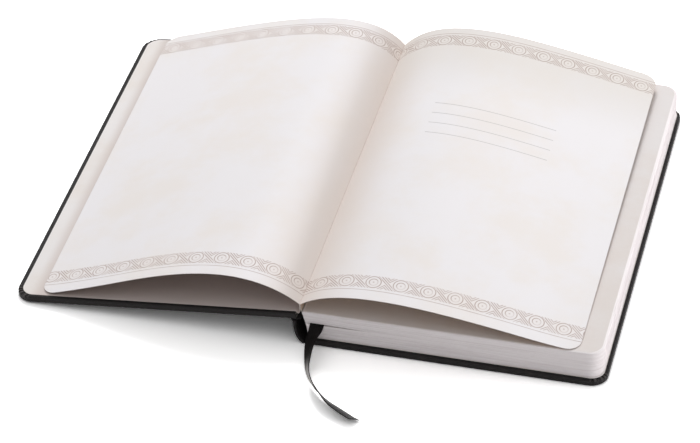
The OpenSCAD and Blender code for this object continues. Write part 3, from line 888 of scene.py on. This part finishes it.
# Points round the cover with their outward directions and a measure that is 1 in the middle of each
# outer corner
def coverOutline():
    r = cover["corner"]
    rows = []
    sides = [((0, 0), (boardW - r, 0), (0, -1), 90), ((boardW, r), (boardW, boardH - r), (1, 0), 110),
             ((boardW - r, boardH), (0, boardH), (0, 1), 90), ((0, boardH), (0, 0), (-1, 0), 60)]
    arcs = [((boardW - r, r), -math.pi / 2), ((boardW - r, boardH - r), 0), None, None]
    for (start, end, out, count), arc in zip(sides, arcs):
        for t in np.linspace(0, 1, count)[:-1]:
            rows.append((start[0] + t * (end[0] - start[0]), start[1] + t * (end[1] - start[1]), *out, 0, 0, 0))
        if arc is not None:
            (cx, cy), first = arc
            for t in np.linspace(0, 1, cover["cornerPoints"]):
                a = first + t * math.pi / 2
                rows.append((cx + r * math.cos(a), cy + r * math.sin(a), math.cos(a), math.sin(a), 1, t, 0))
        else:
            rows.append((end[0], end[1], *out, 0, 0, 0))
    return np.array(rows)


# Each outline point is moved inwards by the section's inset and kept inside the inset rectangle, which
# sharpens the corners past their radius. On the corners narrow grooves, the pleats, press the rim down
# and the edge in along the section's outward direction.
def coverSkin(name, toBook, body, node):
    section, plan = coverSection(), coverOutline()
    r = cover["corner"]
    around = plan[:, 5][None, :]
    fold = np.abs(np.sin(cover["pleats"] * math.pi * (around + 0.04 * np.sin(9 * around)))) ** 0.55
    onCorner = smoothStep(around, 0.01, 0.1) * smoothStep(1 - around, 0.01, 0.1) * (plan[:, 4][None, :] > 0.5)
    k = np.arange(len(section))
    reach = (smoothStep(k, 9, 13) * (k <= 24) * smoothStep(26 - k, 1, 6))[:, None]
    sink = cover["pleatDepth"] * (1 - fold) * onCorner * reach
    facing = np.clip((k - 11) / 6, 0, 1)[:, None] * math.pi / 2
    inset = section[:, 0][:, None] + sink * np.cos(facing)
    height = section[:, 1][:, None] - sink * np.sin(facing)
    x, y = plan[:, 0], plan[:, 1]
    ox, oy = plan[:, 2], plan[:, 3]
    atSpine = np.minimum(inset, cover["spineTurn"] * (1 + inset / 24))
    d = np.where((ox < -0.5)[None, :], atSpine, inset)
    d = np.where(plan[:, 4] > 0.5, np.minimum(inset, r), d)
    px, py = x - d * ox, y - d * oy
    px = np.clip(px, atSpine, boardW - inset)
    py = np.clip(py, inset, boardH - inset)
    points = toBook(np.stack([px, py, height], -1))
    rows, columns = px.shape
    # The pleat mark: up to 1 in a pleat's groove for painted shade, below 0 on its ridge for a painted highlight
    pleatShading = onCorner * reach * np.where(fold < 0.62, 1 - fold / 0.62, -smoothStep(fold, 0.8, 0.98))
    caps = [range(columns), range((rows - 1) * columns, rows * columns)]
    piece = makePiece(name, points.reshape(-1, 3), gridFaces(rows, columns, closeColumns=True), leather, None,
                      caps, values={"pleatShading": pleatShading})
    sharpen(piece, 55)
    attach(piece, body)
    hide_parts(node)


def layFront(points):
    x, z = onCover(points[..., 0] + jointW / 2, points[..., 2])
    return np.stack([x, points[..., 1], z], -1)


def layBack(points):
    return np.stack([points[..., 0], points[..., 1], points[..., 2] + insideT], -1)


coverSkin("frontCoverSkin", layFront, "front_cover", "front_leatherette")
coverSkin("backCoverSkin", layBack, "back_cover", "back_leatherette")
print("covers made")

# Spine and joints
spine = {"curve": [(-4.3, 0.2), (-7.6, 1.6), (-8.6, 7.4), (-8.6, 12.35)], "skin": 0.4, "turned": 1.5,
         "turnIn": 15.0, "points": 40}


# A section through the thickness, round at both ends and double where it is turned in, carried along
# the bowed spine curve
def makeSpine():
    path = resample(bezier(spine["curve"]), np.linspace(0, 1, spine["points"]))
    heading = np.gradient(path, axis=0)
    heading /= np.linalg.norm(heading, axis=1)[:, None]
    inward = np.stack([heading[:, 1], -heading[:, 0]], -1)
    t, thin = spine["turned"], spine["skin"]
    turn = np.linspace(0, math.pi, 9)
    tail = [(t / 2 * (1 - math.sin(a)), t / 2 * (1 - math.cos(a))) for a in turn]
    tail += [(spine["turnIn"] - 0.4, t), (spine["turnIn"], thin), (boardH / 2 - 1, thin)]
    head = [(boardH - y, d) for y, d in tail[::-1]]
    outer = [(boardH - 20, 0), (boardH / 2, 0), (20, 0)]
    loop = np.array(tail + head + outer)
    depth = loop[:, 1][None, :, None] - spine["skin"] / 2
    at = path[:, None, :] + inward[:, None, :] * depth
    points = np.stack([at[..., 0], np.broadcast_to(loop[:, 0], at.shape[:2]), at[..., 1]], -1)
    rows, columns = points.shape[:2]
    piece = makePiece("spineSkin", points.reshape(-1, 3), gridFaces(rows, columns, closeColumns=True), leather,
                      None, [range(columns), range((rows - 1) * columns, rows * columns)])
    sharpen(piece, 50)
    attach(piece, "pages")
    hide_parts("spine_leatherette")


# A strip along the spine, its section a short curve, baked in place and given a thickness
def makeJoint(name, path, node):
    y = np.concatenate([np.linspace(0.15, 3, 5), np.linspace(3, boardH - 3, 60)[1:-1],
                        np.linspace(boardH - 3, boardH - 0.15, 5)])
    points = np.stack(np.broadcast_arrays(path[:, None, 0], y[None, :], path[:, None, 1]), -1)
    piece = makePiece(name, points.reshape(-1, 3), gridFaces(*points.shape[:2]), leather, None, merge=False)
    sharpen(piece)
    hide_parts(node)
    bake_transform(piece)
    solidify(piece, 0.4, 0)


makeSpine()
# The front cover turns by more than half a turn. Each row of points of its strip lies on the spine or on the cover,
# and the stretch between the two sets of rows is straight
spineRows = [(-8.6, 12.1), (-8.8, 12.5), (-9.3, 12.95)]
coverRows = [onCover(u, -insideT + 0.05) for u in (1.7, 2.4, jointW / 2, jointW / 2 + 0.6)]
makeJoint("frontJoint", np.array(spineRows + coverRows), "front_joint_leatherette")
backCurve = bezier([(-4.6, 0.25), (-3.2, 0.7), (-1.2, 0.7), (0.7, 0.25)])
makeJoint("backJoint", resample(backCurve, np.linspace(0, 1, 30)), "back_joint_leatherette")
print("spine and joints made")


# Solids of the frame that stay, with their finish
def finishNode(node, material):
    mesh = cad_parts[node].data
    mesh.materials.clear()
    mesh.materials.append(material)


for node, material in (("front_board", greyBoard), ("back_board", greyBoard), ("spine_card", spineCard),
                       ("spine_lining", liningPaper), ("back_pastedown", endpaperPlain)):
    finishNode(node, material)

# Studio: a pale floor, a soft lamp behind, weaker low ones at the right and in front, and a sky that is
# bright above
studio = {"floor": srgb(246, 246, 246), "floorSeen": 1.9, "skyFrom": (0.0, 0.42, 0.9), "skyLow": 0.06,
          "skyHigh": 0.78,
          "lamps": [{"from": (-0.2, 0.95, 1.1), "size": 0.65, "power": 9.7},
                    {"from": (1.5, 0.1, 0.14), "size": 0.26, "power": 8.0},
                    {"from": (0.15, -1.4, 0.4), "size": 0.9, "power": 1.9}]}


# 1 for rays that show the floor and backdrop: from the camera, in gloss or through something clear
def seenRays(tree):
    rays = tree.nodes.new("ShaderNodeLightPath")
    mirrored = calc(tree, "ADD", rays.outputs["Is Glossy Ray"], rays.outputs["Is Transmission Ray"])
    return calc(tree, "ADD", rays.outputs["Is Camera Ray"], mirrored, clamp=True)


def addFloor():
    mesh = bpy.data.meshes.new("studioFloor")
    reach = 4.0
    mesh.from_pydata([(-reach, -reach, -0.0001), (reach, -reach, -0.0001), (reach, reach, -0.0001),
                      (-reach, reach, -0.0001)], [], [(0, 1, 2, 3)])
    floor = bpy.data.objects.new("studioFloor", mesh)
    bpy.context.scene.collection.objects.link(floor)
    material, tree, shader = newMaterial("paleFloor", Roughness=1.0)
    shader.inputs["Specular IOR Level"].default_value = 0.0
    seen = (studio["floorSeen"],) * 3 + (1.0,)
    tree.links.new(blendColour(tree, seenRays(tree), studio["floor"], seen), shader.inputs["Base Color"])
    mesh.materials.append(material)


def addLamps():
    for lamp in studio["lamps"]:
        data = bpy.data.lights.new("softLamp", "AREA")
        data.shape = "DISK"
        data.size = lamp["size"]
        data.energy = lamp["power"]
        placed = bpy.data.objects.new("softLamp", data)
        placed.location = lamp["from"]
        placed.rotation_euler = Vector(lamp["from"]).to_track_quat("Z", "Y").to_euler()
        bpy.context.scene.collection.objects.link(placed)


# The sky's strength goes smoothly from low to high with the direction's share along skyFrom
def setWorld():
    world = bpy.data.worlds.new("studioWorld")
    bpy.context.scene.world = world
    world.use_nodes = True
    tree = world.node_tree
    backdrop = tree.nodes["Background"]
    way = tree.nodes.new("ShaderNodeTexCoord")
    along = tree.nodes.new("ShaderNodeVectorMath")
    along.operation = "DOT_PRODUCT"
    tree.links.new(way.outputs["Generated"], along.inputs[0])
    along.inputs[1].default_value = Vector(studio["skyFrom"]).normalized()
    sky = fade(tree, along.outputs["Value"], -0.3, 1.0, studio["skyLow"], studio["skyHigh"])
    tree.links.new(fade(tree, seenRays(tree), 0.0, 1.0, sky, 1.0), backdrop.inputs["Strength"])
    backdrop.inputs["Color"].default_value = (1, 1, 1, 1)


addFloor()
addLamps()
setWorld()
bpy.context.scene.view_settings.view_transform = "Standard"
print("studio set")
